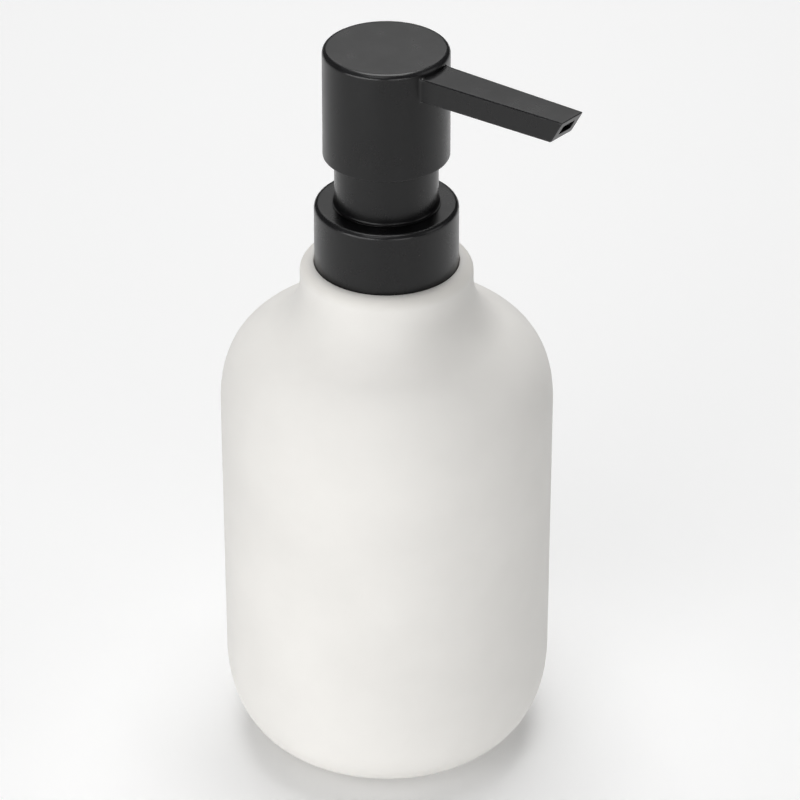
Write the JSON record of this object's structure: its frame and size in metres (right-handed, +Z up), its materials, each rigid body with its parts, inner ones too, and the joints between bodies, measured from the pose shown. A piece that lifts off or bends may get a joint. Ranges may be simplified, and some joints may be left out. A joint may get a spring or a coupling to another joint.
{
  "type": "soap pump dispenser",
  "caption": "Rounded matt white bottle with a screw-on black lotion pump; the head presses down and swivels, with a straight tapered spout.",
  "frame": {"origin": "centre of the base, on the surface the bottle stands on", "axes": "+Z up along the bottle's axis; the spout points along +X"},
  "size_m": [0.0895, 0.076, 0.1783],
  "materials": {
    "stoneware": "matt white, soft to the touch",
    "foam": "closed-cell foam",
    "white_plastic": "moulded polypropylene",
    "silicone": "translucent silicone",
    "black_plastic": "moulded polypropylene",
    "matt_black": "fine satin black",
    "gasket": "foamed polyethylene",
    "natural_plastic": "natural polypropylene",
    "ball": "polished glass",
    "tube": "translucent polyethylene",
    "spring_steel": "stainless spring wire",
    "piston": "soft polyethylene"
  },
  "bodies": {
    "bottle": {"bottle": "stoneware", "foot_pad": "foam", "neck_insert": "white_plastic", "insert_seal": "silicone"},
    "pump": {"neck_gasket": "gasket", "pump_housing": "natural_plastic", "chaplet": "natural_plastic", "sleeve": "matt_black", "ball_retainer": "natural_plastic", "dip_tube": "tube", "spring": "spring_steel"},
    "collar": {"closure_nut": "black_plastic", "collar_shell": "matt_black"},
    "inlet_valve": {"inlet_ball": "ball"},
    "plunger": {"piston": "piston"},
    "head": {"lower_stem": "natural_plastic", "upper_stem": "natural_plastic", "actuator_core": "black_plastic", "nozzle_tube": "black_plastic", "head_shell": "matt_black"},
    "outlet_valve": {"outlet_ball": "ball"}
  },
  "joints": [
    {"name": "pump_rise", "type": "slide", "parent": "bottle", "child": "pump", "axis": [0, 0, 1], "range_m": [0, 0.00634]},
    {"name": "collar_unscrew", "type": "hinge", "parent": "pump", "child": "collar", "pos_m": [0, 0, 0.13], "axis": [0, 0, 1], "range_deg": [0, 540]},
    {"name": "inlet_ball_lift", "type": "slide", "parent": "pump", "child": "inlet_valve", "axis": [0, 0, 1], "range_m": [0, 0.0015]},
    {"name": "head_press", "type": "slide", "parent": "pump", "child": "plunger", "axis": [0, 0, -1], "range_m": [0, 0.0115], "stiffness_N_per_m": 900, "springref_m": -0.008, "deforming": ["spring"]},
    {"name": "head_swivel", "type": "hinge", "parent": "plunger", "child": "head", "pos_m": [0, 0, 0.165], "axis": [0, 0, 1], "continuous": true},
    {"name": "outlet_ball_lift", "type": "slide", "parent": "head", "child": "outlet_valve", "axis": [0, 0, 1], "range_m": [0, 0.0012]}
  ],
  "couplings": [
    {"joint": "collar_unscrew", "follows": "pump_rise", "rad_per_m": 1485.4}
  ]
}
